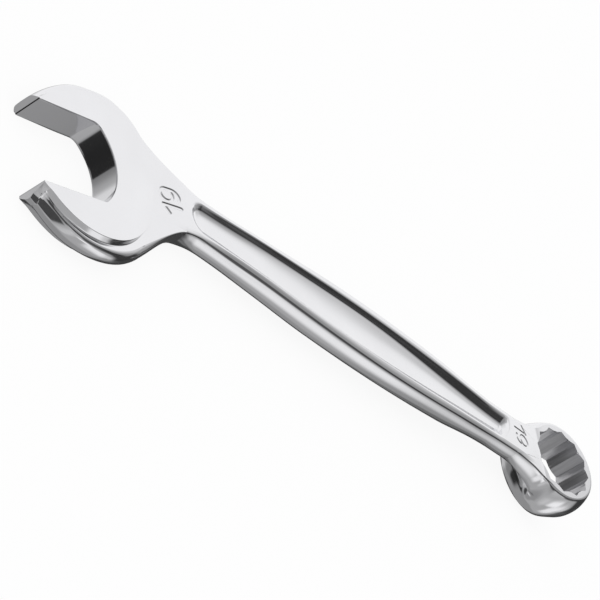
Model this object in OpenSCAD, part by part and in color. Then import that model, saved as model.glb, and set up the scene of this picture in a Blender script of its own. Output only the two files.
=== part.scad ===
// Combination wrench, 19 mm: open end, shank and twelve-point ring end.
// Frame: the origin is the axis of a nut seated in the open jaw. X runs along the
// shank to the ring, Y across it and Z up through the top face. Units are mm.

/* [Jaw] */
// distance between the two jaw flats
jaw_size = 19; // [8:0.1:36]
// angle between the jaw and the shank
jaw_angle = 15; // [0:0.5:30]
// radius of the throat behind the nut
throat_radius = 13.1; // [10:0.1:20]
// throat centre along the jaw, from the nut axis
throat_along = 1.6; // [-5:0.1:5]
// throat centre across the jaw
throat_across = 1.4; // [-2:0.1:2]
// radius where the throat meets the upper flat
upper_fillet = 2.5; // [0.5:0.1:3]
// radius where the throat meets the lower flat
lower_fillet = 1.6; // [0.5:0.1:3]
// reach of the upper jaw past the nut axis
upper_reach = 7.7; // [4:0.1:16]
// reach of the lower jaw past the nut axis
lower_reach = 11.2; // [4:0.1:18]

/* [Head] */
// full thickness of the raised pad
pad_thickness = 7; // [5:0.1:12]
// thickness of the flange round the pad
flange_thickness = 4.2; // [3:0.1:8]
// width of the flange shelf outside the pad
flange_width = 1.9; // [0.5:0.1:4]
// extra width at the middle of the flange edge
flange_bulge = 0.4; // [0:0.1:1]
// outer radius of the lower jaw at its flange
lower_radius = 19.9; // [14:0.1:26]
// lower jaw circle behind the nut axis
lower_back = 5; // [0:0.1:10]
// outer radius of the upper jaw at its flange
upper_radius = 20.1; // [14:0.1:26]
// upper jaw circle behind the nut axis
upper_back = 10.7; // [4:0.1:16]
// upper jaw circle below the jaw axis
upper_drop = 1; // [-3:0.1:3]
// radius of the pad's rounded back
pad_back_radius = 24.3; // [16:0.1:30]
// centre of that radius above the jaw axis
pad_back_rise = 5.6; // [-4:0.1:8]
// width of the upper jaw's end face at the flange
upper_tip = 1.3; // [0.5:0.1:4]
// width of the lower jaw's end face at the flange
lower_tip = 2.0; // [0.5:0.1:4]

/* [Shank] */
// height of the shank axis over the nut axis in Y
shank_offset = 6; // [0:0.1:10]
// distance from the nut axis to the ring centre
centres = 201.5; // [120:0.5:260]
// thickness across the two rims
shank_thickness = 6.7; // [5:0.1:12]
// half width of the shank at its two waists
waist_half_width = 5.6; // [4:0.05:9]
// half width of the shank at its middle
middle_half_width = 8.35; // [5:0.05:12]
// extra half width where the shank meets the head
head_flare = 1.1; // [0:0.05:3]
// extra half width where the shank meets the ring's neck
ring_flare = 0.35; // [0:0.05:3]
// drop from the rim's inner edge to its outer edge
rim_drop = 0.6; // [0:0.05:1.5]
// extra half width at the middle of the side wall
side_bulge = 0.55; // [0:0.05:1.5]
// where the shank starts, from the nut axis
shank_start = 33; // [24:0.5:34]
// length of the neck between the shank and the ring centre
ring_neck = 27.5; // [20:0.5:40]

/* [Recess] */
// land between the head and the recess
head_land = 1.8; // [1.5:0.1:10]
// land between the recess and the ring's neck
ring_land = 3.4; // [1:0.1:10]
// half width of the recess at its middle
recess_middle = 6.15; // [3:0.05:9]
// half width of the recess near its ends
recess_tail = 3.95; // [2:0.05:6]
// length over which the recess closes beside the ring
recess_blunt = 2.4; // [1:0.1:6]
// depth of the recess floor below the rims, over most of its length
recess_depth = 1.4; // [0.5:0.05:2]
// extra depth towards the ring
recess_sink = 0.45; // [0:0.05:0.6]
// sideways run of the recess wall, over most of its length
recess_draft = 1.1; // [0.2:0.05:1.5]
// extra run of that wall towards the ring
recess_spread = 0.9; // [0:0.05:1.2]

/* [Ring] */
// distance across the flats of the socket
ring_size = 19.1; // [8:0.1:36]
// tilt of the ring about the Y axis
ring_tilt = 13.9; // [0:0.1:20]
// height of the ring along its own axis
ring_height = 11.6; // [8:0.1:16]
// outer radius at the middle of the ring
ring_radius = 14.2; // [12:0.1:20]
// outer radius of the ring's top and bottom faces
ring_face_radius = 12.5; // [11:0.1:18]
// how far the ring's outside is set towards the shank
ring_shift = 0.6; // [0:0.1:2]
// drop of the ring centre below the shank's mid-plane
ring_drop = 1.1; // [-3:0.1:3]
// how much of the socket's points the lead-in leaves at each mouth
ring_lead = 0.7; // [0.5:0.05:1]

/* [Output] */
// sub-part to draw

/* [Hidden] */
round_fn = 96;
jaw_half = jaw_size / 2;
flange_half = flange_thickness / 2;
rim_half = shank_thickness / 2;
head_rim_half = 2.75;
ring_rim_half = 3.2;
waist_at = shank_start + 7;
shank_end = centres - ring_neck;
ring_neck_end = centres - 9;
recess_start = shank_start + head_land;
recess_end = shank_end - ring_land;
head_edge = waist_half_width + head_flare;
ring_edge = waist_half_width + ring_flare;

// a point in the jaw's own axes (out of the mouth, across) as X and Y
function jaw_point(along, across) = [
    -along * cos(jaw_angle) - across * sin(jaw_angle),
    -along * sin(jaw_angle) + across * cos(jaw_angle)
];

// points of an arc from angle a to angle b
function arc(centre, radius, a, b, steps) = [
    for (i = [0 : steps])
        let (turn = a + (b - a) * i / steps)
        centre + radius * [cos(turn), sin(turn)]
];

// cubic Hermite curve between two points with their end slopes, both ends left out
function bend(p, p_slope, q, q_slope, steps) = [
    for (i = [1 : steps - 1])
        let (t = i / steps)
        (2 * pow(t, 3) - 3 * t * t + 1) * p + (pow(t, 3) - 2 * t * t + t) * p_slope
        + (3 * t * t - 2 * pow(t, 3)) * q + (pow(t, 3) - t * t) * q_slope
];

// smooth step from 0 at a to 1 at b
function ease(x, a, b) =
    let (t = min(1, max(0, (x - a) / (b - a))))
    t * t * (3 - 2 * t);

// swell from 0 at both ends to 1 in the middle of a stretch
function swell(x, a, b) =
    let (t = min(1, abs(2 * x - a - b) / (b - a)))
    pow(max(0, cos(90 * t)), 1.5);

// half width of the shank at its crisp edge
function shank_half_width(x) =
    waist_half_width
    + (middle_half_width - waist_half_width) * swell(x, shank_start + 4, shank_end + 4)
    + head_flare * pow(max(0, (waist_at - x) / (waist_at - shank_start)), 2)
    + ring_flare * ease(x, shank_end - 14, shank_end);

// height of the rims over the mid-plane
function rim_height(x) =
    head_rim_half + (rim_half - head_rim_half) * ease(x, shank_start, shank_start + 30)
    - (rim_half - ring_rim_half) * ease(x, shank_end - 20, shank_end);

// how far a place along the shank lies within its deeper ring-side half
function ring_side(x) = ease(x, recess_end - 75, recess_end - 5);

// half width of the recess: a round end beside the head, a blunter one beside the ring
function recess_half_width(x) =
    let (plain = recess_tail + (recess_middle - recess_tail) * swell(x, recess_start, recess_end))
    let (closing = min(1, max(0, min((x - recess_start) / recess_tail, (recess_end - x) / recess_blunt))))
    max(0.4, plain * sqrt(closing * (2 - closing)));

// depth of the recess, ramping up inside the two ends
function recess_depth_at(x) =
    let (from_end = max(0, min(x - recess_start, recess_end - x)))
    (recess_depth + recess_sink * ring_side(x)) * min(1, from_end / recess_draft_at(x));

// sideways run of the recess wall
function recess_draft_at(x) = recess_draft + recess_spread * ring_side(x);

// one quarter of the shank's section, from the middle of the top to the side: a dished
// floor, a drafted wall, a crowned rim and a swelled side
function shank_quarter(x) =
    let (w = shank_half_width(x), h = rim_height(x), r = recess_half_width(x), d = recess_depth_at(x))
    let (run = min(recess_draft_at(x), r / 2), f = r - run, e = h - rim_drop)
    [
        [0, h - d],
        [0.45 * f, h - 0.96 * d],
        [0.85 * f, h - 0.83 * d],
        [r - 0.75 * run, h - 0.66 * d],
        [r, h - 0.03],
        [0.4 * r + 0.6 * w, h - 0.4 * rim_drop],
        [w, e],
        [w + side_bulge * 0.56, e * 0.66],
        [w + side_bulge * 0.89, e * 0.33],
        [w + side_bulge, 0]
    ];

// one quarter of a section with no recess
function plain_quarter(w, h) =
    let (e = h - rim_drop)
    [
        [0, h],
        [0.62 * w, h],
        [w, e],
        [w + side_bulge * 0.56, e * 0.66],
        [w + side_bulge * 0.89, e * 0.33],
        [w + side_bulge, 0]
    ];

// a whole section from one quarter: right side down, then left side up
function whole_section(q) =
    let (n = len(q))
    concat(
        q,
        [for (i = [n - 2 : -1 : 0]) [q[i][0], -q[i][1]]],
        [for (i = [1 : n - 1]) [-q[i][0], -q[i][1]]],
        [for (i = [n - 2 : -1 : 1]) [-q[i][0], q[i][1]]]
    );

// triangles between stacked rings of n points, with a fan from a middle point at each
// end; the two middle points come after the rings in the list of points
function loft_faces(rings, n) = concat(
    [for (j = [0 : rings - 2], i = [0 : n - 1]) [j * n + i, j * n + (i + 1) % n, (j + 1) * n + i]],
    [for (j = [0 : rings - 2], i = [0 : n - 1]) [j * n + (i + 1) % n, (j + 1) * n + (i + 1) % n, (j + 1) * n + i]],
    [for (i = [0 : n - 1]) [rings * n, (i + 1) % n, i]],
    [for (i = [0 : n - 1]) [rings * n + 1, (rings - 1) * n + i, (rings - 1) * n + (i + 1) % n]]
);

// a solid through sections that stand at the stations [x, centre y, centre z]
module loft(stations, sections) {
    n = len(sections[0]);
    last = len(stations) - 1;
    points = [
        for (j = [0 : last], i = [0 : n - 1])
            stations[j] + [0, sections[j][i][0], sections[j][i][1]]
    ];
    polyhedron(
        points = concat(points, [stations[0], stations[last]]),
        faces = loft_faces(last + 1, n),
        convexity = 6
    );
}

// where the shank's sections stand, close together at the recess ends
shank_stations = concat(
    [shank_start, recess_start - 0.3],
    [for (i = [0 : 5]) recess_start + recess_tail * pow(i / 5, 2)],
    [
        for (i = [1 : 23])
            recess_start + recess_tail + (recess_end - recess_start - recess_tail - recess_blunt) * i / 24
    ],
    [for (i = [5 : -1 : 0]) recess_end - recess_blunt * pow(i / 5, 2)],
    [recess_end + 0.3, shank_end]
);

// the neck beside the head, from wide and thin under the pad to narrow at the shank:
// [x, centre y, centre z, half width, half height]
head_neck_stations = [
    for (i = [0 : 8])
        let (t = 1 - i / 8)
        [
            shank_start - 12 * t,
            shank_offset - 2.6 * t,
            0,
            head_edge + 6.8 * pow(t, 1.3),
            head_rim_half - (head_rim_half - flange_half + 0.2) * t * t
        ]
];

// the neck beside the ring: it widens, and sinks along the ring's slope
ring_neck_stations = [
    for (i = [0 : 9])
        let (t = i / 9)
        [
            shank_end + (ring_neck_end - shank_end) * t,
            shank_offset,
            -1.3 * t * t,
            ring_edge + 4.2 * t * t,
            ring_rim_half
        ]
];

// a neck through such stations
module neck_loft(stations) {
    loft(
        [for (s = stations) [s[0], s[1], s[2]]],
        [for (s = stations) whole_section(plain_quarter(s[3], s[4]))]
    );
}

// outline of the head, out by grow, from the upper tip round the neck to the lower tip;
// the tips' end faces have the given widths
function head_outline(grow, upper_width, lower_width) =
    let (upper_centre = jaw_point(-upper_back, -upper_drop), lower_centre = jaw_point(-lower_back, 0))
    let (upper_r = upper_radius + grow, lower_r = lower_radius + grow)
    let (upper_leave = 66, lower_leave = -50, upper_join = 127, lower_join = -122)
    let (upper_shank = [shank_start, shank_offset + head_edge + grow])
    let (lower_shank = [shank_start, shank_offset - head_edge - grow])
    let (upper_last = upper_centre + upper_r * [cos(upper_leave), sin(upper_leave)])
    let (lower_last = lower_centre + lower_r * [cos(lower_leave), sin(lower_leave)])
    let (upper_first = upper_centre + upper_r * [cos(upper_join), sin(upper_join)])
    let (lower_first = lower_centre + lower_r * [cos(lower_join), sin(lower_join)])
    let (upper_tip_at = jaw_point(upper_reach + 0.3 * upper_width, jaw_half + upper_width))
    let (lower_tip_at = jaw_point(lower_reach + 0.5 * lower_width, -jaw_half - lower_width))
    concat(
        [jaw_point(upper_reach, jaw_half - 1), jaw_point(upper_reach, jaw_half), upper_tip_at],
        bend(upper_tip_at, jaw_point(-9, 7), upper_first, 12 * [sin(upper_join), -cos(upper_join)], 8),
        arc(upper_centre, upper_r, upper_join, upper_leave, 20),
        bend(upper_last, [10, -7], upper_shank, [13, -4.4], 8),
        [upper_shank, lower_shank],
        bend(lower_shank, [-11, -5.5], lower_last, [-14, -17], 8),
        arc(lower_centre, lower_r, lower_leave, lower_join, 20),
        bend(lower_first, 12 * [sin(lower_join), -cos(lower_join)], lower_tip_at, jaw_point(8.4, 8), 8),
        [lower_tip_at, jaw_point(lower_reach, -jaw_half), jaw_point(lower_reach, 1 - jaw_half)]
    );

// the pad keeps inside the flange and ends in a round back at the neck
module pad_outline() {
    intersection() {
        polygon(head_outline(-flange_width, 0.2, 0.3));
        translate(jaw_point(0, pad_back_rise))
            circle(r = pad_back_radius, $fn = round_fn);
    }
}

// angle of the throat's radius where a corner fillet meets it
function fillet_turn(side, radius) =
    let (rise = side * (jaw_half - radius) - throat_across)
    atan2(rise, -sqrt(pow(throat_radius - radius, 2) - rise * rise));

// where that fillet touches its flat, along the jaw
function fillet_along(side, radius) =
    let (rise = side * (jaw_half - radius) - throat_across)
    throat_along - sqrt(pow(throat_radius - radius, 2) - rise * rise);

// the mouth: two flats, a fillet in each corner and the throat's arc
module jaw_opening() {
    upper_turn = fillet_turn(1, upper_fillet);
    lower_turn = 360 + fillet_turn(-1, lower_fillet);
    upper_corner = [fillet_along(1, upper_fillet), jaw_half - upper_fillet];
    lower_corner = [fillet_along(-1, lower_fillet), lower_fillet - jaw_half];
    outline = concat(
        [[40, jaw_half]],
        arc(upper_corner, upper_fillet, 90, upper_turn, 6),
        arc([throat_along, throat_across], throat_radius, upper_turn + 3, lower_turn - 3, 24),
        arc(lower_corner, lower_fillet, lower_turn, 270, 5),
        [[40, -jaw_half]]
    );
    polygon([for (p = outline) jaw_point(p[0], p[1])]);
}

module open_end() {
    color("silver")
        difference() {
            union() {
                linear_extrude(height = flange_thickness, center = true)
                    polygon(head_outline(0, upper_tip, lower_tip));
                linear_extrude(height = flange_thickness * 0.6, center = true)
                    polygon(head_outline(flange_bulge, upper_tip + flange_bulge, lower_tip + flange_bulge));
                linear_extrude(height = pad_thickness, center = true)
                    pad_outline();
                neck_loft(head_neck_stations);
            }
            linear_extrude(height = pad_thickness + 2, center = true)
                jaw_opening();
        }
}

module shank() {
    color("gainsboro")
        loft(
            [for (x = shank_stations) [x, shank_offset, 0]],
            [for (x = shank_stations) whole_section(shank_quarter(x))]
        );
}

module ring_barrel() {
    steps = 4;
    profile = concat(
        [[0, -ring_height / 2]],
        [
            for (i = [-steps : steps])
                [
                    ring_radius - (ring_radius - ring_face_radius) * pow(abs(i) / steps, 2.2),
                    ring_height / 2 * i / steps
                ]
        ],
        [[0, ring_height / 2]]
    );
    rotate_extrude($fn = round_fn)
        polygon(profile);
}

// the socket: two hexagons, half a point apart, with a small lead-in at each mouth
module twelve_point_socket() {
    corner_radius = ring_size / 2 / cos(30);
    for (turn = [15, 45])
        rotate(turn)
            linear_extrude(height = ring_height + 6, center = true)
                circle(r = corner_radius, $fn = 6);
    for (side = [-1, 1])
        translate([0, 0, side * ring_height / 2])
            cylinder(
                h = 2,
                r1 = corner_radius - ring_lead - side,
                r2 = corner_radius - ring_lead + side,
                center = true,
                $fn = round_fn
            );
}

module ring_end() {
    color("silver")
        difference() {
            union() {
                translate([centres, shank_offset, -ring_drop])
                    rotate([0, -ring_tilt, 0])
                        translate([-ring_shift, 0, 0])
                            ring_barrel();
                neck_loft(ring_neck_stations);
            }
            translate([centres, shank_offset, -ring_drop])
                rotate([0, -ring_tilt, 0])
                    twelve_point_socket();
        }
}

open_end();
shank();
ring_end();
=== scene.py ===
"""Combination wrench: angled open jaw, recessed shank and a tilted twelve-point ring.

The three forged zones are skins worked out as grids of sections, in millimetres, and
meet along two shared cross-sections of the shank.
"""
import math

import bpy
import numpy as np
from mathutils import Matrix


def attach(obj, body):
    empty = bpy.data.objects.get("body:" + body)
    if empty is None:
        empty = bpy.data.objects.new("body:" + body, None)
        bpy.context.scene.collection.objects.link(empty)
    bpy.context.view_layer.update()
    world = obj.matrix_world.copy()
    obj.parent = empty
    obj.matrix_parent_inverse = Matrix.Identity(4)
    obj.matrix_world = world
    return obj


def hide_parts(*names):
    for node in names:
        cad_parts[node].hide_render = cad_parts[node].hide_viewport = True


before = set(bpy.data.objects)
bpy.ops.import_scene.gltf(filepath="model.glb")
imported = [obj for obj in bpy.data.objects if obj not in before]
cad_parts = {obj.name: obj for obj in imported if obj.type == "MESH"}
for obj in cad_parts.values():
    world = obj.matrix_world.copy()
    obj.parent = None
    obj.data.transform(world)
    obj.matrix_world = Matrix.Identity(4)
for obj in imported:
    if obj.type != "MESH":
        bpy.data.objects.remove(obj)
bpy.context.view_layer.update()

MM = 0.001

# ---------------------------------------------------------------- sizes, in millimetres
# the head's mouth, on axes of its own that are turned to the shank
JAW_ANGLE = math.radians(15)
JAW_HALF = 9.5
UPPER_REACH = 7.7
LOWER_REACH = 11.35
UPPER_FILLET = 2.5
LOWER_FILLET = 1.6
THROAT_CENTRE = np.array([1.6, 1.4])
THROAT_RADIUS = 13.1

# the raised pad on the head, and the flange round it
PAD_Z = 3.5
FLANGE_Z = 2.1
UPPER_PAD_RADIUS = 18.1
UPPER_FLANGE_RADIUS = 20.1
LOWER_PAD_RADIUS = 17.8
LOWER_FLANGE_RADIUS = 19.8
HEAD_BULGE = 0.4
HEAD_ROUND = 0.75
TIP_LEAN = 0.95

# the shank
AXIS_Y = 6.0
SHANK_START = 33.0
SHANK_END = 174.0
WAIST_HALF = 5.6
MIDDLE_SWELL = 2.75
RIDGE_AT = 0.76
SIDE_BULGE = 0.55
EDGE_ROUND = 0.42
NECK_HALF = 3.0
NECK_LIFT = 0.55

# the recess in both faces of the shank
RECESS_START = 35.2
RECESS_END = 170.2
RECESS_TAIL = 4.0
RECESS_MIDDLE = 6.15

# the ring, on axes of its own that are tilted to the shank
RING_X = 201.5
RING_Z = -1.1
RING_TILT = math.radians(13.9)
RING_HALF = 5.8
RING_RADIUS = 14.2
RING_FACE_RADIUS = 12.5
RING_FOOT_RADIUS = 12.6
RING_FOOT_ROUND = 0.45
RING_ROUND = 0.2
SOCKET_ACROSS_FLATS = 19.1
SOCKET_LEAD = 10.12
NECK_RUN = 18.5
NECK_SINK = 1.3
BARREL_LOW = -0.6
CREASE_LOW = -2.4

# the sunk size numbers
NUMBER_DEPTH = 0.2
STROKE_FLOOR = 0.22
STROKE_EDGE = 0.5


# ---------------------------------------------------------------- curves
def jaw_point(along, across):
    """A point out of the mouth and across the jaw, turned by the jaw's angle to X and Y."""
    c, s = math.cos(JAW_ANGLE), math.sin(JAW_ANGLE)
    return np.stack([-along * c - across * s, -along * s + across * c], -1)


def smooth(x, a, b):
    """Rises from 0 at a to 1 at b as 3t^2 - 2t^3."""
    t = np.clip((x - a) / (b - a), 0, 1)
    return t * t * (3 - 2 * t)


def hermite(p, p_slope, q, q_slope, count=60):
    """Cubic from p to q that leaves and arrives along the two slopes."""
    t = np.linspace(0, 1, count)[:, None]
    p, p_slope, q, q_slope = (np.asarray(v, float) for v in (p, p_slope, q, q_slope))
    return (
        (2 * t**3 - 3 * t**2 + 1) * p
        + (t**3 - 2 * t**2 + t) * p_slope
        + (3 * t**2 - 2 * t**3) * q
        + (t**3 - t**2) * q_slope
    )


def arc(centre, radius, start, end, count=80):
    """Points of a circle from the start angle to the end angle, in degrees."""
    a = np.radians(np.linspace(start, end, count))
    return np.asarray(centre) + radius * np.stack([np.cos(a), np.sin(a)], -1)


def on_arc(centre, radius, angle):
    """One point of a circle, at an angle in degrees."""
    return arc(centre, radius, angle, angle, 1)[0]


def heading(angle):
    """Direction of travel on a circle at an angle in degrees, turning clockwise."""
    a = math.radians(angle)
    return np.array([math.sin(a), -math.cos(a)])


def join(*parts):
    """One line through several that meet end to end."""
    return np.concatenate([parts[0]] + [p[1:] for p in parts[1:]])


def spaced(line, marks):
    """Points of a line at the given shares of its length."""
    step = np.linalg.norm(np.diff(line, axis=0), axis=1)
    length = np.concatenate([[0], np.cumsum(step)])
    at = np.asarray(marks) * length[-1]
    return np.stack([np.interp(at, length, line[:, k]) for k in range(line.shape[1])], -1)


def cut(line, share_from, share_to, count=80):
    """The stretch of a line between two shares of its length."""
    return spaced(line, np.linspace(share_from, share_to, count))


def share_near(line, point):
    """How far along a line, as a share of its length, it passes nearest to a point."""
    step = np.linalg.norm(np.diff(line, axis=0), axis=1)
    length = np.concatenate([[0], np.cumsum(step)])
    near = np.argmin(np.linalg.norm(line - np.asarray(point), axis=1))
    return length[near] / length[-1]


# ---------------------------------------------------------------- the shank's section
def swell(x, a, b):
    """0 at both ends of a stretch and 1 in its middle, as a cosine to the power 1.5."""
    t = np.clip(np.abs(2 * x - a - b) / (b - a), 0, 1)
    return np.cos(t * math.pi / 2) ** 1.5


def half_width(x):
    """Half width of the shank at its crisp edge: waist, swelled middle, flared ends."""
    head_flare = 1.1 * np.clip((40 - x) / 7, 0, None) ** 2
    ring_flare = 0.35 * smooth(x, 160, SHANK_END)
    return WAIST_HALF + MIDDLE_SWELL * swell(x, 37, 178) + head_flare + ring_flare


def rim_height(x):
    """Height of the rims over the mid-plane, thicker along the middle of the shank."""
    return 2.75 + 0.6 * smooth(x, 33, 63) - 0.35 * smooth(x, 138, 168)


def rim_drop(x):
    """How far the rims fall to their outer edges: hardly at the two ends of the shank."""
    return 0.15 + 0.45 * smooth(x, 33, 52) - 0.3 * smooth(x, 148, 172)


def crown(x, share):
    """How far the top falls from each rim's ridge: to rim_drop outside, a little inside."""
    outside = np.clip((share - RIDGE_AT) / (1 - RIDGE_AT), 0, 1) ** 1.3
    inside = np.clip((RIDGE_AT - share) / 0.16, 0, 1) ** 2
    along = smooth(x, 38, 52) * (1 - smooth(x, 150, 166))
    return rim_drop(x) * outside + 0.14 * along * inside


def far_rise(x):
    """How much higher the far rim's outer edge lies along the middle of the shank."""
    return 0.42 * smooth(x, 60, 90) * (1 - smooth(x, 130, 160))


def low_rise(x):
    """How much thinner the shank is underneath, beside the head and beside the ring."""
    return 0.42 * smooth(x, 33, 42) * (1 - smooth(x, 58, 80)) + NECK_LIFT * smooth(x, 138, 156)


def recess_reach(x):
    """Half width of the recess: its tails' width, swelled in the middle."""
    return RECESS_TAIL + (RECESS_MIDDLE - RECESS_TAIL) * swell(x, RECESS_START, RECESS_END)


def recess_inside(x, y):
    """Distance inside the recess's outline.

    Each end is a superellipse of the distances to the side and to the end: round beside
    the head, blunter, steeper and slanted beside the ring.
    """
    side = recess_reach(x) - np.abs(y)
    near = x - RECESS_START
    slant = np.where(y > 0, 0.45 * y, 0.85 * y)
    far = 1.5 * (RECESS_END + slant - x)

    def closed(end, power):
        a = np.clip(1 - side / RECESS_TAIL, 0, None)
        b = np.clip(1 - end / RECESS_TAIL, 0, None)
        return RECESS_TAIL * (1 - (a**power + b**power) ** (1 / power))

    middle = (RECESS_START + RECESS_END) / 2
    inside = np.where(x < middle, closed(near, 2.0), closed(far, 2.8))
    plain = (near > RECESS_TAIL) & (far > RECESS_TAIL)
    return np.where(plain, side, inside)


def recess_depth(inside, x):
    """Depth inside the outline: a rounded lip, a drafted wall and a dished floor.

    The wall is a line from 0 to 1 with both its ends rounded by square roots; the floor
    sinks as 1 - (1 - u)^2.4 towards the middle. Both are deeper beside the ring.
    """
    deeper = smooth(x, 95, 165)
    run = 1.1 + 1.1 * deeper
    wall = 0.85 + 0.85 * deeper
    dish = 0.5 - 0.25 * deeper
    lip, foot = 0.3, 0.22
    t = inside / run
    rise = 0.5 * (t + np.sqrt(t * t + lip * lip)) - 0.01
    over = rise - 1
    level = np.clip(1 + 0.5 * (over - np.sqrt(over * over + foot * foot)), 0, 1)
    floor_at = 0.8 * run
    u = np.clip((inside - floor_at) / (recess_reach(x) - floor_at), 0, 1)
    return wall * level + dish * (1 - (1 - u) ** 2.4)


def shank_top(x, y, width):
    """Height of the shank's top: rim less crown less recess."""
    top = rim_height(x) - crown(x, np.abs(y) / width)
    return top - recess_depth(recess_inside(x, y), x)


def edge_profile(edge_z, bulge, top_in, edge_round, count_round=7, count_side=8):
    """Outward offset and height from just inside an edge down to the mid-plane.

    A quadratic curve rounds the edge between the top at edge_round inside and the side,
    which swells outward as bulge * (1 - (z / edge)^2).
    """
    t = np.linspace(0, 1, count_round)
    low_z = edge_z - edge_round
    low_out = bulge * (1 - (low_z / edge_z) ** 2)
    a, b = (1 - t) ** 2, t**2
    edge = edge_z[..., None]
    out = a * -edge_round[..., None] + b * low_out[..., None]
    z = a * top_in[..., None] + 2 * (1 - t) * t * edge + b * low_z[..., None]
    side_z = low_z[..., None] * np.linspace(1, 0, count_side + 1)[1:]
    side_out = bulge[..., None] * (1 - (side_z / edge) ** 2)
    return np.concatenate([out, side_out], -1), np.concatenate([z, side_z], -1)


# ---------------------------------------------------------------- meshes
def skin(name, grid, end_caps=False, wrap_rows=False):
    """A closed mesh from rows of points, each row a closed loop round the section.

    Rows join to the next with quads; end caps join a loop's top half to its mirrored
    bottom half, point by point, so that they stay flat.
    """
    rows, loop = grid.shape[:2]
    index = np.arange(rows * loop).reshape(rows, loop)
    down = np.roll(index, -1, axis=1)
    if wrap_rows:
        a, b = index, np.roll(index, -1, axis=0)
        c, d = np.roll(down, -1, axis=0), down
    else:
        a, b, c, d = index[:-1], index[1:], down[1:], down[:-1]
    quads = np.stack([a, b, c, d], -1).reshape(-1, 4)
    if end_caps:
        half = loop // 2
        top = np.arange(half)
        bottom = loop - 1 - top
        strip = np.stack([top[:-1], top[1:], bottom[1:], bottom[:-1]], -1)
        quads = np.concatenate([quads, strip, (strip + (rows - 1) * loop)[:, ::-1]])
    mesh = bpy.data.meshes.new(name)
    mesh.from_pydata((grid.reshape(-1, 3) * MM).tolist(), [], quads.tolist())
    mesh.validate()
    mesh.update()
    piece = bpy.data.objects.new(name, mesh)
    bpy.context.scene.collection.objects.link(piece)
    return piece


def finish_skin(piece, replaced, sharp=38):
    """Smooth shading with crisp corners, outward normals, and its place in the frame."""
    mesh = piece.data
    points = np.empty(len(mesh.vertices) * 3)
    mesh.vertices.foreach_get("co", points)
    corners = np.empty(len(mesh.loops), int)
    mesh.loops.foreach_get("vertex_index", corners)
    starts = np.empty(len(mesh.polygons), int)
    mesh.polygons.foreach_get("loop_start", starts)
    p = points.reshape(-1, 3)[corners]
    volume = sum(
        np.einsum("ij,ij->i", p[starts], np.cross(p[starts + k], p[starts + k + 1])).sum()
        for k in (1, 2)
    )
    if volume < 0:
        mesh.flip_normals()
    mesh.shade_smooth()
    mesh.set_sharp_from_angle(angle=math.radians(sharp))
    mesh.materials.append(CHROME)
    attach(piece, "root")
    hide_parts(replaced)


# ---------------------------------------------------------------- engraved size numbers
def stroke_distance(x, y, strokes):
    """Distance from points to the nearest of some straight strokes."""
    best = np.full(x.shape, np.inf)
    for (ax, ay), (bx, by) in strokes:
        dx, dy = bx - ax, by - ay
        t = np.clip(((x - ax) * dx + (y - ay) * dy) / (dx * dx + dy * dy), 0, 1)
        best = np.minimum(best, np.hypot(x - ax - t * dx, y - ay - t * dy))
    return best


def nineteen(height):
    """The strokes of a 1 and a 9, standing side by side, x along the line and y up."""
    one = [(0.0, 0.74), (0.34, 1.0), (0.34, 0.0)]
    turn = np.radians(np.linspace(0, 360, 25))
    bowl = np.stack([0.79 + 0.26 * np.cos(turn), 0.68 + 0.32 * np.sin(turn)], -1)
    fall = np.radians(np.linspace(0, -125, 13))
    tail = np.stack([0.79 + 0.26 * np.cos(fall), 0.36 + 0.36 * np.sin(fall)], -1)
    strokes = []
    for line in (one, bowl, [(1.05, 0.68)] + list(tail)):
        points = [(p[0] * height, p[1] * height) for p in line]
        strokes += list(zip(points[:-1], points[1:]))
    return strokes


# where the numbers' upper left corners lie, the turn of their way down, their height
HEAD_NUMBER = (26.6, 1.35, 14.0, 5.8)
RING_NUMBER = (181.7, 10.6, 180.0, 6.5)


def engraving(x, y):
    """Depth of the sunk numbers at both ends: a flat floor between steep walls."""
    near = np.inf
    for top_x, top_y, turned, height in (HEAD_NUMBER, RING_NUMBER):
        c, s = math.cos(math.radians(turned)), math.sin(math.radians(turned))
        down = (x - top_x) * c + (y - top_y) * s
        along = (y - top_y) * c - (x - top_x) * s
        near = np.minimum(near, stroke_distance(along, height - down, nineteen(height)))
    return NUMBER_DEPTH * (1 - smooth(near, STROKE_FLOOR, STROKE_EDGE))


# ---------------------------------------------------------------- open end
UPPER_CENTRE = np.array([10.6, 1.8])
LOWER_CENTRE = jaw_point(-5.0, 0.0)
PAD_CENTRE = jaw_point(-4.0, 0.0)


def opening_line():
    """Seven stretches of the mouth: flat, fillet, three of the throat, fillet, flat."""

    def corner(side, fillet):
        rise = side * (JAW_HALF - fillet) - THROAT_CENTRE[1]
        run = math.sqrt((THROAT_RADIUS - fillet) ** 2 - rise * rise)
        centre = np.array([THROAT_CENTRE[0] - run, side * (JAW_HALF - fillet)])
        return centre, math.degrees(math.atan2(rise, -run))

    upper, upper_turn = corner(1, UPPER_FILLET)
    lower, lower_turn = corner(-1, LOWER_FILLET)
    lower_turn += 360
    to_upper_edge, to_lower_edge = 180 - 3.6, 180 + 17.7
    pieces = [
        np.array([[UPPER_REACH, JAW_HALF], [upper[0], JAW_HALF]]),
        arc(upper, UPPER_FILLET, 90, upper_turn),
        arc(THROAT_CENTRE, THROAT_RADIUS, upper_turn, to_upper_edge),
        arc(THROAT_CENTRE, THROAT_RADIUS, to_upper_edge, to_lower_edge),
        arc(THROAT_CENTRE, THROAT_RADIUS, to_lower_edge, lower_turn),
        arc(lower, LOWER_FILLET, lower_turn, 270),
        np.array([[lower[0], -JAW_HALF], [LOWER_REACH, -JAW_HALF]]),
    ]
    return [jaw_point(p[:, 0], p[:, 1]) for p in pieces]


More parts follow.
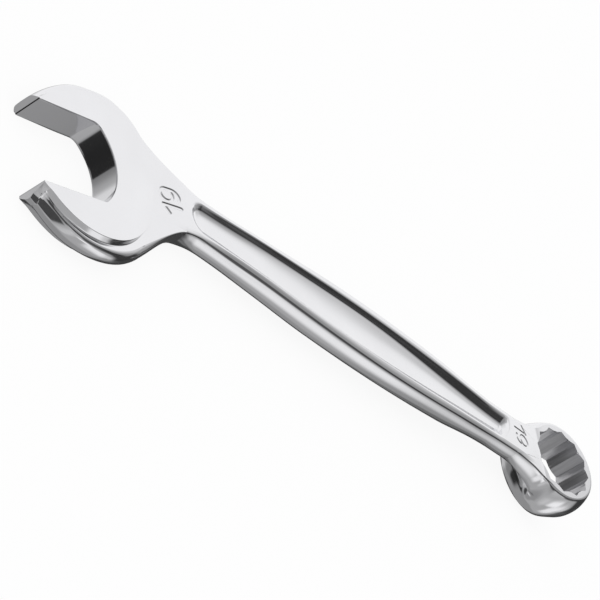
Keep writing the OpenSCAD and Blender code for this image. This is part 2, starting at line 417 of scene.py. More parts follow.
def flange_line():
    """The flange's crisp edge from the upper tip to the lower tip, in seven stretches.

    Arcs follow both jaws; cubics lead to the tips and, over a crest and a shoulder, to
    the two corners where the shank starts.
    """
    edge = float(half_width(np.array(SHANK_START)))
    upper_neck = np.array([SHANK_START, AXIS_Y + edge])
    lower_neck = np.array([SHANK_START, AXIS_Y - edge])
    upper_tip = jaw_point(UPPER_REACH + 0.9, 10.65)
    lower_tip = jaw_point(LOWER_REACH + 0.75, -11.5)
    nose = on_arc(UPPER_CENTRE, UPPER_FLANGE_RADIUS, 127)
    brow = on_arc(UPPER_CENTRE, UPPER_FLANGE_RADIUS, 108)
    crest, shoulder = np.array([11.3, 22.5]), np.array([18.4, 19.7])
    upper = join(
        hermite(upper_tip, jaw_point(-9.0, 7.0), nose, 12 * heading(127)),
        arc(UPPER_CENTRE, UPPER_FLANGE_RADIUS, 127, 108),
        hermite(brow, 7.2 * heading(108), crest, [7, 0]),
        hermite(crest, [7, 0], shoulder, [6, -4.6]),
        hermite(shoulder, [8, -6.6], upper_neck, [15, -3.2]),
    )
    heel = on_arc(LOWER_CENTRE, LOWER_FLANGE_RADIUS, -44)
    chin = on_arc(LOWER_CENTRE, LOWER_FLANGE_RADIUS, -122)
    lower = join(
        hermite(lower_neck, [-9, -2.9], heel, 13 * heading(-44)),
        arc(LOWER_CENTRE, LOWER_FLANGE_RADIUS, -44, -122),
        hermite(chin, 12 * heading(-122), lower_tip, jaw_point(8.4, 8.0)),
    )
    seam = np.stack([upper_neck, lower_neck])
    a = share_near(upper, jaw_point(-8.5, 18.9))
    b = share_near(upper, jaw_point(-13.0, 19.2))
    c = share_near(lower, jaw_point(-9.5, -19.5))
    d = share_near(lower, jaw_point(-5.5, -19.8))
    return [cut(upper, 0, a), cut(upper, a, b), cut(upper, b, 1), seam,
            cut(lower, 0, c), cut(lower, c, d), cut(lower, d, 1)]


def pad_line():
    """The raised pad's edge between the same marks: two arcs and a rounded back."""
    upper_tip = jaw_point(UPPER_REACH + 0.08, 9.76)
    lower_tip = jaw_point(LOWER_REACH + 0.1, -9.8)
    nose = on_arc(UPPER_CENTRE, UPPER_PAD_RADIUS, 127)
    brow = on_arc(UPPER_CENTRE, UPPER_PAD_RADIUS, 85)
    back = np.array([22.26, 7.0])
    heel = on_arc(PAD_CENTRE, LOWER_PAD_RADIUS, -25)
    chin = on_arc(PAD_CENTRE, LOWER_PAD_RADIUS, -122)
    line = join(
        hermite(upper_tip, jaw_point(-7.0, 6.2), nose, 12 * heading(127)),
        arc(UPPER_CENTRE, UPPER_PAD_RADIUS, 127, 85),
        hermite(brow, [15, -1.3], back, [0, -19]),
        hermite(back, [0, -14], heel, 9.5 * heading(-25)),
        arc(PAD_CENTRE, LOWER_PAD_RADIUS, -25, -122),
        hermite(chin, 8 * heading(-122), lower_tip, jaw_point(5.0, 5.4)),
    )
    corners = [
        jaw_point(-8.0, 17.0),
        jaw_point(-12.2, 17.2),
        [22.1, 9.6],
        [21.0, -2.2],
        jaw_point(-8.8, -17.2),
        jaw_point(-5.2, -17.7),
    ]
    marks = [0, *(share_near(line, p) for p in corners), 1]
    return [cut(line, a, b) for a, b in zip(marks[:-1], marks[1:])]


def neck_top(x, y):
    """Height of the head's top outside the pad: flange, rising to the shank's rim."""
    share = np.abs(y - AXIS_Y) / half_width(np.maximum(x, SHANK_START))
    at_shank = rim_height(np.array(SHANK_START)) - crown(SHANK_START, np.minimum(share, 1))
    return FLANGE_Z + (at_shank - FLANGE_Z) * smooth(x, 20, SHANK_START)


def open_end_grid():
    """Spokes from the mouth over the pad to the flange's edge, then down the side.

    Each row is one spoke's closed loop: the upper half, then the lower half, which is its
    mirror image but for the number and the upper half's lean near the lower jaw's tip.
    """
    counts = [56, 16, 72, 110, 72, 12, 66]
    marks = [np.linspace(0, 1, n + 1) for n in counts]
    marks[0] = marks[0] ** 1.4
    marks[6] = 1 - (1 - marks[6]) ** 1.4

    def sampled(pieces):
        lines = [spaced(line, share) for line, share in zip(pieces, marks)]
        return np.concatenate([line[:-1] for line in lines[:-1]] + lines[-1:])

    mouth, pad, flange = sampled(opening_line()), sampled(pad_line()), sampled(flange_line())
    rows = len(mouth)
    seam_from, seam_to = sum(counts[:3]), sum(counts[:4])
    row = np.arange(rows)
    on_seam = (row > seam_from) & (row < seam_to)

    # outward directions of the flange's edge, square to the shank at the seam's corners
    turning = 14
    ahead = np.gradient(flange, axis=0)
    out = np.stack([-ahead[:, 1], ahead[:, 0]], -1)
    out /= np.linalg.norm(out, axis=1, keepdims=True)
    before = smooth(row, seam_from - turning, seam_from) * (row <= seam_from)
    after = (1 - smooth(row, seam_to, seam_to + turning)) * (row >= seam_to)
    square = np.maximum(before, after)[:, None]
    on_upper_side = row[:, None] < (seam_from + seam_to) / 2
    out = out * (1 - square) + np.where(on_upper_side, [[0.0, 1.0]], [[0.0, -1.0]]) * square
    out /= np.linalg.norm(out, axis=1, keepdims=True)

    # top, from the mouth's rounded lip to the pad's edge: small steps at both
    span = np.linalg.norm(pad - mouth, axis=1)[:, None]
    near = np.minimum([0.0, 0.03, 0.07, 0.13, 0.18], span * [0, 0.05, 0.1, 0.15, 0.2])
    far = np.minimum([0.2, 0.1, 0.05], span * [0.3, 0.2, 0.1])
    between = near[:, -1:] + (span - near[:, -1:] - far[:, :1]) * [0.25, 0.5, 0.75]
    inner = np.concatenate([near, between, span - far], 1) / span
    top_xy = mouth[:, None] + (pad - mouth)[:, None] * inner[..., None]
    lip = np.array([0.12, 0.05, 0.015])
    top_z = np.full(inner.shape, PAD_Z)
    top_z[:, : len(lip)] -= lip

    # near both tips the side turns square to the end face, and the lower one leans in
    tip_rows = 46
    upper_tip = 1 - smooth(row, 0, tip_rows)
    lower_tip = smooth(row, rows - tip_rows, rows - 1)
    near_tip = np.maximum(upper_tip, lower_tip)
    across = (flange - pad) / np.linalg.norm(flange - pad, axis=1, keepdims=True)
    out = out * (1 - near_tip[:, None] ** 8) + across * near_tip[:, None] ** 8
    out /= np.linalg.norm(out, axis=1, keepdims=True)
    tip_lift = 0.3 * upper_tip - 0.9 * lower_tip
    leaning = TIP_LEAN * smooth(row, rows - 52, rows - 16)
    leaning = leaning * (1 - 0.35 * smooth(row, rows - 30, rows - 1))

    # the mouth's wall
    wall_z = np.array([0.0, 0.5, 0.93]) * (PAD_Z - 0.3)
    wall_xy = np.repeat(mouth[:, None], len(wall_z), axis=1)
    wall_z = np.repeat(wall_z[None], rows, axis=0)

    # the step from pad to flange, as run and height, and the steps over the flange
    step_run = np.array([0.0, 0.02, 0.05, 0.12, 0.22, 0.32, 0.38, 0.44, 0.52, 0.65])
    step_rise = np.array([0.975, 0.94, 0.87, 0.69, 0.42, 0.17, 0.075, 0.025, 0.005, 0.0])
    narrow_flange = 1.9
    flange_steps = 73

    def half(lean, numbered):
        """Spokes of one half: wall, pad, step, flange, rounded edge and side."""
        crisp = flange - out * lean[:, None]
        width = np.linalg.norm(crisp - pad, axis=1)[:, None]
        edge_round = HEAD_ROUND - (HEAD_ROUND - EDGE_ROUND) * smooth(flange[:, 0], 20, 31)
        edge_in = np.minimum(edge_round[:, None], width * 0.45)
        step = step_run * np.minimum(1, width / narrow_flange)
        share = np.linspace(0, 1, flange_steps + 1)[1:]
        beyond = step[:, -1:] + (width - edge_in - step[:, -1:]) * share
        away = np.concatenate([step, beyond], 1)
        foot_xy = pad[:, None] + (crisp - pad)[:, None] * (away / width)[..., None]
        shelf = neck_top(foot_xy[..., 0], foot_xy[..., 1]) + tip_lift[:, None]
        stepped = np.concatenate([step_rise, np.zeros(flange_steps)])
        slanted = np.clip(1 - away / width, 0, 1)
        rise = stepped + (slanted - stepped) * near_tip[:, None] ** 2
        foot_z = shelf + (PAD_Z - shelf) * rise
        if numbered:
            beside_shank = (row >= seam_from - 2) & (row <= seam_to + 2)
            foot_z -= engraving(foot_xy[..., 0], foot_xy[..., 1]) * beside_shank[:, None]

        edge_z = neck_top(flange[:, 0], flange[:, 1]) + tip_lift
        bulge = HEAD_BULGE + (SIDE_BULGE - HEAD_BULGE) * smooth(flange[:, 0], 22, SHANK_START)
        bulge = bulge + 0.7 * smooth(flange[:, 0], 4, 16) * (1 - smooth(flange[:, 0], 20, 30))
        bulge = bulge + (0.12 - bulge) * near_tip
        side_out, side_z = edge_profile(edge_z, bulge, foot_z[:, -1], edge_in[:, 0])
        down = side_z / side_z[:, :1]
        below_round = down[:, 6:7]
        side_out = side_out - lean[:, None] * np.minimum(down / below_round, 1)
        side_xy = flange[:, None] + out[:, None] * side_out[..., None]
        side_xy[on_seam] = flange[on_seam][:, None]
        side_z = np.where(on_seam[:, None], down * foot_z[:, -1:], side_z)
        foot_xy[on_seam, -1] = flange[on_seam]
        xy = np.concatenate([wall_xy, top_xy, foot_xy, side_xy[:, 1:]], 1)
        z = np.concatenate([wall_z, top_z, foot_z, side_z[:, 1:]], 1)
        return np.concatenate([xy, z[..., None]], -1)

    upper, lower = half(leaning, True), half(0 * leaning, False) * [1, 1, -1]
    return np.concatenate([upper, lower[:, -2:0:-1]], 1)


# ---------------------------------------------------------------- shank
def shank_grid():
    """Sections across the shank: recess, rim, crisp edge and swelled side."""
    ends = np.linspace(0, 1, 46) ** 1.3 * 8
    x = np.concatenate([
        [SHANK_START, 33.15, 33.5, 34.1, 34.6],
        RECESS_START - 0.25 + ends,
        np.linspace(RECESS_START + 8.4, RECESS_END - 8.4, 170),
        (RECESS_END + 0.25 - ends)[::-1],
        [171.2, 172.0, 172.8, 173.5, 173.85, SHANK_END],
    ])
    beside_number = np.linspace(171.6, 173.8, 20)
    x = np.unique(np.concatenate([x, beside_number]))
    width = half_width(x)[:, None]
    lip = recess_reach(x)[:, None]
    wall_in, wall_out = 2.7, 0.4
    inner = (lip - wall_in) * np.linspace(0, 1, 8)[:-1]
    wall = lip - wall_in + (wall_in + wall_out) * np.linspace(0, 1, 27)
    rim = lip + wall_out + (width - EDGE_ROUND - lip - wall_out) * np.linspace(0, 1, 8)[1:]
    y = np.concatenate([inner, wall, rim], 1)
    xs = np.broadcast_to(x[:, None], y.shape)
    edge_z = rim_height(x) - rim_drop(x)
    every = np.ones(len(x))

    def half(sign, rise):
        z = shank_top(xs, sign * y, width)
        share = np.clip(y / width - RIDGE_AT, 0, 1) / (1 - RIDGE_AT)
        z = z + rise[:, None] * share
        side_out, side_z = edge_profile(
            edge_z + rise, SIDE_BULGE * every, z[:, -1], EDGE_ROUND * every
        )
        across = AXIS_Y + sign * np.concatenate([y, width + side_out[:, 1:]], 1)
        z = np.concatenate([z, side_z[:, 1:]], 1)
        return np.stack([np.broadcast_to(x[:, None], z.shape), across, z], -1)

    top_right, top_left = half(1, far_rise(x)), half(-1, 0 * x)
    low_right, low_left = top_right * [1, 1, -1], top_left * [1, 1, -1]
    for side in (top_right, top_left):
        side[..., 2] -= engraving(side[..., 0], side[..., 1])
    for side in (top_right, top_left, low_right, low_left):
        down = 0.5 * (1 - np.clip(side[..., 2] / edge_z[:, None], -1, 1))
        side[..., 2] += low_rise(x)[:, None] * down
    return np.concatenate([
        top_left[:, :0:-1], top_right, low_right[:, -2:0:-1], low_left[:, :-1],
    ], 1)


# ---------------------------------------------------------------- ring end
def ring_to_world(points):
    """Points on the ring's own axes (away from the shank, across, up its axis) as X, Y, Z."""
    c, s = math.cos(RING_TILT), math.sin(RING_TILT)
    a, b, h = points[..., 0], points[..., 1], points[..., 2]
    return np.stack([RING_X + a * c - h * s, AXIS_Y + b, RING_Z + a * s + h * c], -1)


def world_to_ring(points):
    """The inverse: X, Y, Z as distances along the ring's own axes."""
    c, s = math.cos(RING_TILT), math.sin(RING_TILT)
    x, y, z = points[..., 0] - RING_X, points[..., 1] - AXIS_Y, points[..., 2] - RING_Z
    return np.stack([x * c + z * s, y, -x * s + z * c], -1)


def ring_points(unit, reach, h):
    """Points at reaches along plan directions and heights up the axis, as X, Y, Z."""
    reach, h = np.broadcast_arrays(reach, h)
    return ring_to_world(np.stack([unit[:, :1] * reach, unit[:, 1:] * reach, h], -1))


def ring_top(x, y):
    """World height of the top: the shank's rim, sinking until the ring's face rises."""
    slope = math.tan(RING_TILT)
    face = RING_Z + RING_HALF / math.cos(RING_TILT) + (x - RING_X) * slope
    t = np.clip((x - SHANK_END) / NECK_RUN, 0, 3)
    share = np.abs(y - AXIS_Y) / half_width(np.array(SHANK_END))
    fall = crown(SHANK_END, np.minimum(share, 1)) * (1 - smooth(x, SHANK_END, 187))
    rim = NECK_HALF - t * t - fall
    soft = 0.8 * smooth(x, SHANK_END, 186)
    return 0.5 * (face + rim + np.sqrt((face - rim) ** 2 + soft * soft))


def lift_to_top(a, b):
    """Height on the ring's axes at which a point of its plan meets the top surface."""
    h = np.full(np.shape(a), RING_HALF)
    c, s = math.cos(RING_TILT), math.sin(RING_TILT)
    for _ in range(8):
        x = RING_X + a * c - h * s
        z = ring_top(x, b + AXIS_Y)
        h = (z - RING_Z - a * s) / c
    return h


def barrel_reach(angle, h):
    """Distance from the socket's axis to the barrel.

    The barrel is widest at its middle, drawn in towards both faces by a power of the
    height, and fuller at its foot where it passes into the neck.
    """
    share = np.clip(h / RING_HALF, -1, 1)
    face = np.where(share > 0, RING_FACE_RADIUS, RING_FOOT_RADIUS)
    r = RING_RADIUS - (RING_RADIUS - face) * np.abs(share) ** np.where(share > 0, 1.9, 2.5)
    size = np.degrees(np.abs(np.mod(angle + math.pi, 2 * math.pi) - math.pi))
    fuller = 2.0 * smooth(size, 80, 126) - 0.4 * smooth(size, 134, 168)
    return r + fuller * smooth(-share, -1, 1)


def socket_reach(angle):
    """Distance from the axis to the twelve-point socket: the farther of two hexagons."""
    flat = SOCKET_ACROSS_FLATS / 2

    def hexagon(turn):
        a = np.mod(angle - math.radians(turn) + math.pi / 6, math.pi / 3) - math.pi / 6
        return flat / np.cos(a)

    return np.maximum(hexagon(45), hexagon(15))


def ring_grid():
    """Half-planes round the socket's axis, each with a closed section of ring and neck.

    A row runs from the socket's mouth over the top, down the side, under the neck to the
    crease, down to the foot and back through the socket.
    """
    edge = float(half_width(np.array(SHANK_END)))
    edge_drop = float(rim_drop(np.array(SHANK_END)))
    corner = world_to_ring(np.array([SHANK_END, AXIS_Y + edge, NECK_HALF - edge_drop]))
    corner_angle = math.atan2(corner[1], corner[0])
    join_angle = math.radians(124)

    # angles crowd in the neck, and one falls on each of the seam's corners
    fine = np.concatenate([
        np.linspace(-180, -165, 61)[:-1],
        np.linspace(-165, -105, 101)[:-1],
        np.linspace(-105, 105, 169)[:-1],
        np.linspace(105, 165, 101)[:-1],
        np.linspace(165, 180, 61)[:-1],
    ])
    deg = np.degrees(corner_angle)
    for side in (-1, 1):
        fine[np.argmin(np.abs(fine - side * deg))] = side * deg
    angle = np.radians(fine)
    size = np.abs(angle)
    sign = np.where(angle < 0, -1.0, 1.0)
    on_seam = size > corner_angle + 1e-9
    neck = smooth(size, join_angle, corner_angle)
    beside = smooth(size, join_angle, 0.4 * join_angle + 0.6 * corner_angle)
    unit = np.stack([np.cos(angle), np.sin(angle)], -1)

    # the top's edge in plan: circle, then a bend into the shank's edge, then the seam
    start_reach = float(barrel_reach(np.array(join_angle), RING_HALF))
    start = start_reach * np.array([math.cos(join_angle), math.sin(join_angle)])
    along = np.array([-math.sin(join_angle), math.cos(join_angle)])
    bend = hermite(start, 17 * along, corner[:2], [-15, -0.1], 200)
    bend_angle = np.arctan2(bend[:, 1], bend[:, 0])
    bend_reach = np.interp(size, bend_angle, np.hypot(bend[:, 0], bend[:, 1]))
    reach = np.where(size < join_angle, barrel_reach(angle, RING_HALF), bend_reach)
    for _ in range(6):
        edge_h = lift_to_top(unit[:, 0] * reach, unit[:, 1] * reach)
        seam_a = (SHANK_END - RING_X + edge_h * math.sin(RING_TILT)) / math.cos(RING_TILT)
        reach = np.where(on_seam, seam_a / unit[:, 0], reach)
    edge_ab = unit * reach[:, None]

    # outward directions of that edge, square to the shank at the seam's corners
    ahead = np.gradient(bend, axis=0)
    ahead /= np.linalg.norm(ahead, axis=1, keepdims=True)
    on_bend = [np.interp(size, bend_angle, across) for across in (ahead[:, 1], -ahead[:, 0])]
    on_circle = [np.cos(size), np.sin(size)]
    out = np.where(size < join_angle, on_circle, on_bend).T
    out = np.where(on_seam[:, None], [0.0, 1.0], out)
    out[:, 1] *= sign

    # top surface, from the socket's mouth to just inside the edge
    hole = socket_reach(angle)
    hole_top = np.maximum(hole, SOCKET_LEAD)
    edge_round = EDGE_ROUND + RING_ROUND * (1 - beside)
    inset = np.where(on_seam, 0, edge_round)
    mouth = unit * hole_top[:, None]
    inner_edge = edge_ab - out * inset[:, None]
    share = np.concatenate([[0, 0.006, 0.015], np.linspace(0.04, 1, 112)])
    flat = mouth[:, None] + (inner_edge - mouth)[:, None] * share[:, None]
    flat_h = lift_to_top(flat[..., 0], flat[..., 1])
    top = ring_to_world(np.concatenate([flat, flat_h[..., None]], -1))
    top[..., 2] -= engraving(top[..., 0], top[..., 1])
    top[:, :2, 2] -= [0.05, 0.015]

    # the neck's side, between its upper and lower edges
    crisp = ring_to_world(np.concatenate([edge_ab, edge_h[:, None]], -1))
    past_seam = crisp[:, 0] - SHANK_END
    sink = NECK_SINK * np.clip(past_seam / NECK_RUN, 0, 3) ** 2
    low_edge = edge_drop - NECK_HALF - sink + NECK_LIFT * (1 - smooth(past_seam, 0, 12))
    middle, half = (crisp[:, 2] + low_edge) / 2, (crisp[:, 2] - low_edge) / 2
    bulge = np.full(len(angle), SIDE_BULGE)
    side_out, side_z = edge_profile(half, bulge, top[:, -1, 2] - middle, edge_round)
    side_out = np.concatenate([side_out, side_out[:, -2::-1]], 1)
    side_z = np.concatenate([side_z, -side_z[:, -2::-1]], 1) + middle[:, None]
    tilted_out = np.stack([out[:, 0] * math.cos(RING_TILT), out[:, 1]], -1)
    side_xy = crisp[:, None, :2] + tilted_out[:, None] * side_out[..., None]
    neck_side = np.concatenate([side_xy, side_z[..., None]], -1)

    # the barrel's side beside it, down to a little below its middle
    t = np.linspace(0, 1, 7)
    under_edge = RING_HALF - EDGE_ROUND - RING_ROUND
    round_reach = (1 - t) ** 2 * (reach - edge_round)[:, None] + 2 * t * (1 - t) * reach[:, None]
    round_reach = round_reach + t**2 * barrel_reach(angle, under_edge)[:, None]
    round_h = (1 - t) ** 2 * RING_HALF + 2 * t * (1 - t) * RING_HALF + t**2 * under_edge
    down = np.linspace(under_edge, BARREL_LOW, side_z.shape[1] - 6)[1:]
    barrel = np.concatenate([round_reach, barrel_reach(angle[:, None], down)], 1)
    barrel_side = ring_points(unit, barrel, np.concatenate([round_h, down]))
    side = neck_side * beside[:, None, None] + barrel_side * (1 - beside)[:, None, None]

    # on the seam the side is the flat cut across the shank, down to the lower face
    low_face = crown(SHANK_END, np.minimum(np.abs(crisp[:, 1] - AXIS_Y) / edge, 1))
    low_face = low_face - NECK_HALF + NECK_LIFT
    drop = np.linspace(0, 1, side.shape[1])
    cut_z = top[:, -1:, 2] * (1 - drop) + low_face[:, None] * drop
    cut_xy = np.repeat(crisp[:, None, :2], len(drop), axis=1)
    flat_cut = np.concatenate([cut_xy, cut_z[..., None]], -1)
    flat_cut[..., 0] = SHANK_END
    side = np.where(on_seam[:, None, None], flat_cut, side)

    # under the neck to the crease, then down the barrel to its rounded foot
    neck_crease = -NECK_HALF - NECK_SINK - RING_Z + 13.5 * math.sin(RING_TILT)
    crease_h = neck_crease * neck + CREASE_LOW * (1 - neck)
    crease = ring_points(unit, barrel_reach(angle, crease_h)[:, None], crease_h[:, None])
    t = np.linspace(0, 1, 18)[1:, None]
    ledge = side[:, -1:] * (1 - t) + crease * t
    ledge_h = np.linspace(BARREL_LOW, CREASE_LOW, 18)[1:]
    on_barrel = ring_points(unit, barrel_reach(angle[:, None], ledge_h), ledge_h)
    mix = np.clip(neck * 4, 0, 1)[:, None, None]
    ledge = ledge * mix + on_barrel * (1 - mix)
    t = np.linspace(0, 1, 22)[1:]
    foot_edge = RING_HALF - RING_FOOT_ROUND
    foot_h = crease_h[:, None] * (1 - t) - foot_edge * t
    foot_reach = barrel_reach(angle[:, None], foot_h)
    t = np.linspace(0, 1, 7)[1:]
    corner_h = -foot_edge * (1 - t) ** 2 - 2 * t * (1 - t) * RING_HALF - t**2 * RING_HALF
    corner_reach = foot_reach[:, -1:] - 0.5 * t**2 - 0.3 * t * (1 - t)
    foot_h = np.concatenate([foot_h, np.broadcast_to(corner_h, corner_reach.shape)], 1)
    foot_reach = np.concatenate([foot_reach, corner_reach], 1)
    outside = np.concatenate([side, ledge, ring_points(unit, foot_reach, foot_h)], 1)
    first = side.shape[1] - 4
    for _ in range(5):
        soft = 0.25 * outside[:, :-2] + 0.5 * outside[:, 1:-1] + 0.25 * outside[:, 2:]
        outside[:, first:-1] = soft[:, first - 1 :]
    outside[on_seam, : side.shape[1]] = flat_cut[on_seam]

    # underside and the socket's wall
    bottom_reach = foot_reach[:, -1:]
    under = bottom_reach + (hole_top[:, None] - bottom_reach) * np.linspace(0, 1, 8)[1:]
    under_h = np.full(under.shape, -RING_HALF)
    lead = np.maximum(hole_top - hole, 0.05)
    top_h = lift_to_top(mouth[:, 0], mouth[:, 1])
    wall_ends = np.stack([lead - RING_HALF, top_h - lead - 0.05], -1)
    wall_h = wall_ends[:, :1] + (wall_ends[:, 1:] - wall_ends[:, :1]) * np.linspace(0, 1, 7)
    tail_reach = np.concatenate([under, np.repeat(hole[:, None], 7, axis=1)], 1)
    tail = ring_points(unit, tail_reach, np.concatenate([under_h, wall_h], 1))
    return np.concatenate([top, outside[:, 1:], tail], 1)


def socket_faces(mesh):
    """Marks the socket's wall: faces along its axis, no farther out than its points."""
    past_points, steep = 11.3, 0.3
    middle = np.empty(len(mesh.polygons) * 3)
    mesh.polygons.foreach_get("center", middle)
    facing = np.empty(len(mesh.polygons) * 3)
    mesh.polygons.foreach_get("normal", facing)
    place = world_to_ring(middle.reshape(-1, 3) / MM)
    axis = np.array([-math.sin(RING_TILT), 0.0, math.cos(RING_TILT)])
    upright = np.abs(facing.reshape(-1, 3) @ axis) < steep
    return (np.hypot(place[:, 0], place[:, 1]) < past_points) & upright


# ---------------------------------------------------------------- finishes
def node(tree, kind, **values):
    """Adds a shader node and sets its properties and inputs by name."""
    made = tree.nodes.new(kind)
    for key, value in values.items():
        if key in made.inputs:
            made.inputs[key].default_value = value
        else:
            setattr(made, key, value)
    return made


def chrome(name, roughness, dark, bright, lines=False):
    """Chrome whose roughness and tone vary a little, as a haze or as broached lines."""
    material = bpy.data.materials.new(name)
    material.use_nodes = True
    tree = material.node_tree
    shader = tree.nodes["Principled BSDF"]
    shader.inputs["Metallic"].default_value = 1.0
    place = node(tree, "ShaderNodeTexCoord")
    haze = node(tree, "ShaderNodeTexNoise", Scale=90.0, Detail=4.0)
    along = place.outputs["Object"]
    if lines:
        turned = node(tree, "ShaderNodeMapping", vector_type="TEXTURE")
        turned.inputs["Rotation"].default_value = (0, -RING_TILT, 0)
        turned.inputs["Scale"].default_value = (0.08, 0.08, 2.0)
        tree.links.new(along, turned.inputs["Vector"])
        along = turned.outputs["Vector"]
    tree.links.new(along, haze.inputs["Vector"])
    gloss = node(tree, "ShaderNodeMapRange")
    gloss.inputs["To Min"].default_value = roughness * 0.7
    gloss.inputs["To Max"].default_value = roughness * 1.3
    tree.links.new(haze.outputs["Fac"], gloss.inputs["Value"])
    tree.links.new(gloss.outputs["Result"], shader.inputs["Roughness"])
    tint = node(tree, "ShaderNodeValToRGB")
    tint.color_ramp.elements[0].color = (dark, dark, dark + 0.02, 1)
    tint.color_ramp.elements[1].color = (bright, bright, bright + 0.02, 1)
    tree.links.new(haze.outputs["Fac"], tint.inputs["Fac"])
    tree.links.new(tint.outputs["Color"], shader.inputs["Base Color"])
    return material


CHROME = chrome("polished_chrome", 0.10, 0.80, 0.88)
SOCKET_CHROME = chrome("broached_chrome", 0.34, 0.42, 0.98, lines=True)

open_end = skin("open_end_skin", open_end_grid(), end_caps=True)
finish_skin(open_end, "open_end")
shank = skin("shank_skin", shank_grid(), end_caps=True)
finish_skin(shank, "shank")
ring_end = skin("ring_end_skin", ring_grid(), wrap_rows=True)
finish_skin(ring_end, "ring_end")
ring_end.data.materials.append(SOCKET_CHROME)
inside = socket_faces(ring_end.data)
ring_end.data.polygons.foreach_set("material_index", inside.astype(np.int32))


# ---------------------------------------------------------------- floor, light and camera
# the level between the panels, and then, of each panel: its west, east, low and high
# edges, the four soft borders in the same order, and its level
STUDIO_LEVEL = 0.30
STUDIO_PANELS = [
    (-180, 180, 58, 90, 0, 0, 12, 1, 0.26),
    (-180, 180, 80, 90, 0, 0, 7, 1, 0.62),
    (-180, 180, -90, -76, 0, 0, 1, 8, 0.16),
    (70, 105, -62, 62, 30, 55, 10, 12, 0.55),
    (150, 200, -62, 30, 35, 20, 10, 10, 0.22),
    (-110, -60, -30, 14, 20, 30, 10, 6, 0.42),
    (-86, -60, -4, 7, 22, 20, 10, 8, 0.60),
    (-125, -40, 24, 58, 15, 10, 7, 10, 0.06),
    (-94, -62, 18, 32, 9, 9, 5, 5, 0.5),
    (118, 212, 12, 58, 14, 8, 8, 10, 0.88),
    (118, 212, 30, 36, 14, 8, 5, 5, 0.35),
    (-60, -20, 24, 52, 10, 10, 8, 10, 0.085),
    (-20, -8, 28, 43, 12, 12, 8, 12, 0.035),
    (-75, -34, -34, 4, 12, 10, 8, 26, 0.42),
    (-53, -31, -14, -9, 12, 9, 17, 13, 0.66),
    (-52, -41, -14, -9, 10, 9, 17, 18, 0.92),
    (-69, -58, 1, 6, 14, 10, 8, 8, 0.97),
    (-30, -19, -34, -24, 6, 8, 8, 12, 0.31),
    (-19, 8, -14, 14, 8, 8, 10, 8, 0.04),
    (-19, -6, 12, 30, 8, 12, 8, 8, 0.04),
    (-16, 10, -56, -20, 7, 10, 6, 8, 0.085),
    (-15, -12, -38, -30, 4, 4, 5, 5, 0.17),
    (-184, -166, -50, -32, 7, 15, 16, 5, 0.03),
    (-205, -140, -33, -26, 3, 12, 4, 9, 0.02),
    (24, 110, -50, 62, 17, 45, 12, 12, 0.42),
    (26, 84, 24, 38, 16, 30, 6, 10, 0.62),
    (29, 84, -14, 22, 7, 30, 8, 6, 0.97),
    (43, 84, 20, 50, 16, 30, 8, 10, 0.97),
    (80, 104, -50, -14, 16, 20, 10, 10, 0.75),
    (-4, 60, -76, -34, 8, 8, 8, 8, 0.055),
    (-4, 33, -36, -13, 8, 8, 8, 8, 0.055),
]


def floor_sheet():
    """A pale floor under the wrench, tilted as the wrench rests on jaw and ring."""
    mesh = bpy.data.meshes.new("floor")
    reach = 3.0
    head_x, head_z = 0.005, -0.0036
    ring_x, ring_z = 0.195, -0.0100
    slope = (ring_z - head_z) / (ring_x - head_x)
    corners = [
        (x, y, head_z + slope * (x - head_x))
        for x, y in ((-reach, -reach), (reach, -reach), (reach, reach), (-reach, reach))
    ]
    mesh.from_pydata(corners, [], [(0, 1, 2, 3)])
    floor = bpy.data.objects.new("floor", mesh)
    bpy.context.scene.collection.objects.link(floor)
    material = bpy.data.materials.new("pale_floor")
    material.use_nodes = True
    tree = material.node_tree
    shader = tree.nodes["Principled BSDF"]
    shader.inputs["Base Color"].default_value = (0.9, 0.9, 0.9, 1)
    shader.inputs["Roughness"].default_value = 0.9
    shader.inputs["Specular IOR Level"].default_value = 0.0
    glow = node(tree, "ShaderNodeEmission", Color=(1, 1, 1, 1), Strength=1.0)
    blend = node(tree, "ShaderNodeMixShader")
    blend.inputs["Fac"].default_value = 0.9
    tree.links.new(shader.outputs["BSDF"], blend.inputs[1])
    tree.links.new(glow.outputs["Emission"], blend.inputs[2])
    tree.links.new(blend.outputs["Shader"], tree.nodes["Material Output"].inputs["Surface"])
    mesh.materials.append(material)
    floor.visible_glossy = False


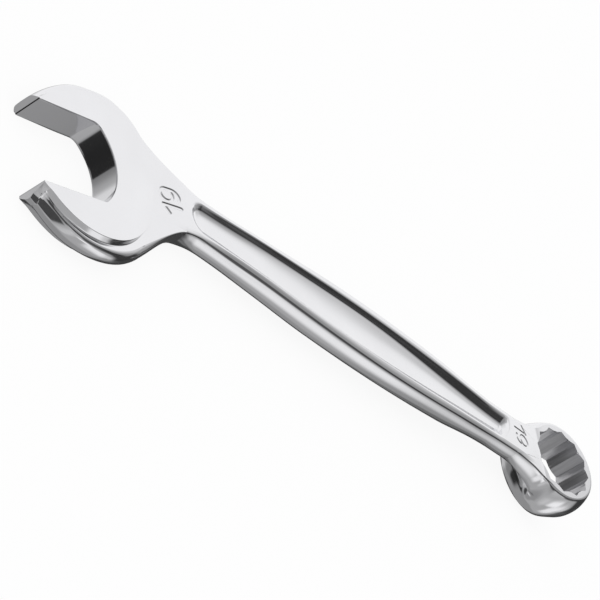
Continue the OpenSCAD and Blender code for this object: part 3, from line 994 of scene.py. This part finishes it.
def studio_world():
    """White to the eye; what the chrome mirrors is a studio of soft panels and dark gaps.

    Each panel is a box in azimuth and elevation, in degrees, whose level fades over a
    soft border and covers the panels before it.
    """
    world = bpy.data.worlds.new("studio")
    bpy.context.scene.world = world
    world.use_nodes = True
    tree = world.node_tree
    link = tree.links.new
    place = node(tree, "ShaderNodeTexCoord")
    parts = node(tree, "ShaderNodeSeparateXYZ")
    link(place.outputs["Generated"], parts.inputs["Vector"])

    def math_node(operation, *values):
        made = node(tree, "ShaderNodeMath", operation=operation)
        for socket, value in zip(made.inputs, values):
            if isinstance(value, (int, float)):
                socket.default_value = value
            else:
                link(value, socket)
        return made.outputs[0]

    turn = math_node("DEGREES", math_node("ARCTAN2", parts.outputs["Y"], parts.outputs["X"]))
    rise = math_node("DEGREES", math_node("ARCSINE", parts.outputs["Z"]))

    def within(angle, low, high, soft_low, soft_high, wraps):
        middle = (low + high) / 2
        away = math_node("SUBTRACT", angle, middle)
        if wraps:
            away = math_node("WRAP", away, 180.0, -180.0)
        low, high = low - middle, high - middle
        sides = []
        for start, stop in ((low - soft_low, low), (high + soft_high, high)):
            ramp = node(tree, "ShaderNodeMapRange", interpolation_type="SMOOTHSTEP")
            ramp.inputs["From Min"].default_value = start
            ramp.inputs["From Max"].default_value = stop
            link(away, ramp.inputs["Value"])
            sides.append(ramp.outputs["Result"])
        return math_node("MULTIPLY", *sides)

    level = STUDIO_LEVEL
    for panel in STUDIO_PANELS:
        west, east, low, high, soft_west, soft_east, soft_low, soft_high, strength = panel
        mask = math_node(
            "MULTIPLY",
            within(turn, west, east, soft_west, soft_east, True),
            within(rise, low, high, soft_low, soft_high, False),
        )
        mix = node(tree, "ShaderNodeMix", data_type="FLOAT")
        link(mask, mix.inputs[0])
        if isinstance(level, float):
            mix.inputs[2].default_value = level
        else:
            link(level, mix.inputs[2])
        mix.inputs[3].default_value = strength
        level = mix.outputs[0]
    mirrored = node(tree, "ShaderNodeCombineColor")
    for socket in mirrored.inputs:
        link(level, socket)
    path = node(tree, "ShaderNodeLightPath")
    mix = node(tree, "ShaderNodeMix", data_type="RGBA")
    link(path.outputs["Is Glossy Ray"], mix.inputs[0])
    mix.inputs[6].default_value = (1, 1, 1, 1)
    link(mirrored.outputs["Color"], mix.inputs[7])
    link(mix.outputs[2], tree.nodes["Background"].inputs["Color"])


def camera():
    """A long lens at its place in metres, turned by a heading, a fall and a roll.

    The view's direction comes from heading and fall; the level and upright directions
    square to it are then rolled about it.
    """
    data = bpy.data.cameras.new("camera")
    data.sensor_width = 36.0
    data.lens = 82.35
    data.clip_start = 0.01
    place = np.array([-0.144699, -0.176778, 0.143472])
    heading_turn, fall, roll = np.radians([39.404, -26.5905, 62.7037])
    view = np.array([
        math.cos(fall) * math.cos(heading_turn),
        math.cos(fall) * math.sin(heading_turn),
        math.sin(fall),
    ])
    level = np.array([math.sin(heading_turn), -math.cos(heading_turn), 0.0])
    right = math.cos(roll) * level + math.sin(roll) * np.cross(level, view)
    axes = np.stack([right, np.cross(right, view), -view, place], 1)
    eye = bpy.data.objects.new("camera", data)
    eye.matrix_world = Matrix(axes.tolist() + [[0, 0, 0, 1]])
    bpy.context.scene.collection.objects.link(eye)
    bpy.context.scene.camera = eye


floor_sheet()
studio_world()
camera()
bpy.context.scene.view_settings.view_transform = "Standard"
